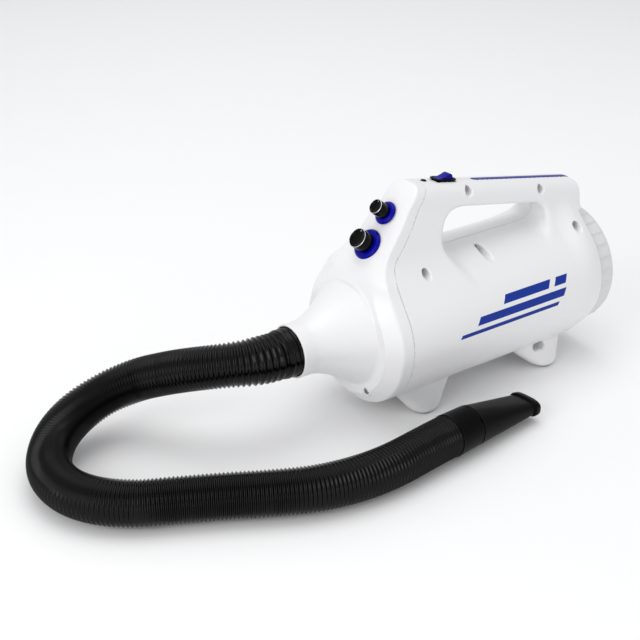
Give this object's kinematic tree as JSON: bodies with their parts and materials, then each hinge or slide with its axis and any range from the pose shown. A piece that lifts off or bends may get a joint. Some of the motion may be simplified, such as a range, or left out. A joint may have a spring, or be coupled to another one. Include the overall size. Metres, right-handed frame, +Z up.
{
  "type": "car dryer blower",
  "caption": "Hand-carried blower with a barrel body, loop handle, two control knobs, rocker switch, twist-off intake cap and a corrugated hose with a flat nozzle.",
  "frame": {"origin": "on the floor under the middle of the body, with the four foot pads standing on it", "axes": "+Z up, -X towards the air outlet, +X towards the intake cap, -Y towards the side with the screw recesses"},
  "size_m": [0.6277, 0.2695, 0.2282],
  "materials": {
    "white_shell": "moulded white plastic with a soft satin gloss",
    "blue_plastic": "deep royal blue moulded plastic",
    "black_gloss": "glossy black knob",
    "black_plastic": "black moulded plastic, semi-gloss",
    "silver_trim": "thin bright metal ring",
    "hose_plastic": "flexible black corrugated hose",
    "pad_rubber": "matte rubber",
    "filter_foam": "open-cell foam",
    "screw_steel": "zinc-plated screw",
    "motor_steel": "plain steel",
    "motor_aluminium": "pressed aluminium",
    "copper": "copper winding and commutator",
    "carbon": "carbon brush",
    "mica": "mica board",
    "circuit_board": "green circuit board"
  },
  "bodies": {
    "body": {"housing_near": "white_shell", "housing_far": "white_shell", "front_cover": "white_shell", "cover_screw_near": "screw_steel", "cover_screw_far": "screw_steel", "body_screw_front": "screw_steel", "body_screw_middle": "screw_steel", "body_screw_rear": "screw_steel", "handle_screw_front": "screw_steel", "handle_screw_rear": "screw_steel", "body_screw_lower": "screw_steel", "foot_pad_front_near": "pad_rubber", "foot_pad_front_far": "pad_rubber", "foot_pad_rear_near": "pad_rubber", "foot_pad_rear_far": "pad_rubber", "handle_trim": "blue_plastic", "indicator_lamp": "black_plastic", "switch_frame": "black_plastic", "speed_bezel": "blue_plastic", "speed_control": "motor_aluminium", "heat_bezel": "blue_plastic", "heat_control": "motor_aluminium", "bearing_front": "motor_steel", "bearing_rear": "motor_steel", "stator_core": "motor_steel", "field_coil_upper": "copper", "field_coil_lower": "copper", "motor_bracket": "motor_aluminium", "brush_holder_near": "black_plastic", "brush_holder_far": "black_plastic", "carbon_brush_near": "carbon", "carbon_brush_far": "carbon", "fan_housing": "motor_aluminium", "motor_mount_front": "pad_rubber", "motor_mount_rear": "pad_rubber", "heater_sleeve": "motor_steel", "heater_frame": "mica", "heater_coil": "motor_steel", "thermal_cutout": "black_plastic", "control_board": "circuit_board", "heat_sink": "motor_aluminium", "cord_bushing": "black_plastic", "hose_cuff": "black_plastic", "air_hose": "hose_plastic", "nozzle_collar": "black_plastic"},
    "nozzle": {"air_nozzle": "black_plastic"},
    "speed_dial": {"speed_knob": "black_gloss", "speed_knob_trim": "silver_trim", "speed_shaft": "motor_steel"},
    "heat_dial": {"heat_knob": "black_gloss", "heat_knob_trim": "silver_trim", "heat_shaft": "motor_steel"},
    "rocker": {"switch_rocker": "blue_plastic"},
    "rotor": {"motor_shaft": "motor_steel", "armature_core": "motor_steel", "commutator": "copper", "fan_impeller": "motor_aluminium"},
    "filter": {"filter_carrier": "black_plastic", "filter_foam": "filter_foam"},
    "cap": {"rear_cap": "white_shell"}
  },
  "joints": [
    {"name": "speed_turn", "type": "hinge", "parent": "body", "child": "speed_dial", "pos_m": [-0.09343, 0, 0.17488], "axis": [-0.7861, 0, 0.6181], "range_deg": [0, 270]},
    {"name": "heat_turn", "type": "hinge", "parent": "body", "child": "heat_dial", "pos_m": [-0.07217, 0, 0.20192], "axis": [-0.7861, 0, 0.6181], "range_deg": [0, 270]},
    {"name": "rocker_tilt", "type": "hinge", "parent": "body", "child": "rocker", "pos_m": [-0.00218, 0, 0.22064], "axis": [0, 1, 0], "range_deg": [0, 16]},
    {"name": "rotor_spin", "type": "hinge", "parent": "body", "child": "rotor", "pos_m": [0.0645, 0, 0.088], "axis": [1, 0, 0], "continuous": true},
    {"name": "filter_pull", "type": "slide", "parent": "body", "child": "filter", "axis": [1, 0, 0], "range_m": [0, 0.05]},
    {"name": "cap_twist", "type": "hinge", "parent": "filter", "child": "cap", "pos_m": [0.177, 0, 0.088], "axis": [1, 0, 0], "range_deg": [0, 25]},
    {"name": "nozzle_pull", "type": "slide", "parent": "body", "child": "nozzle", "axis": [0.9963, 0.0854, 0], "range_m": [0, 0.03]}
  ]
}
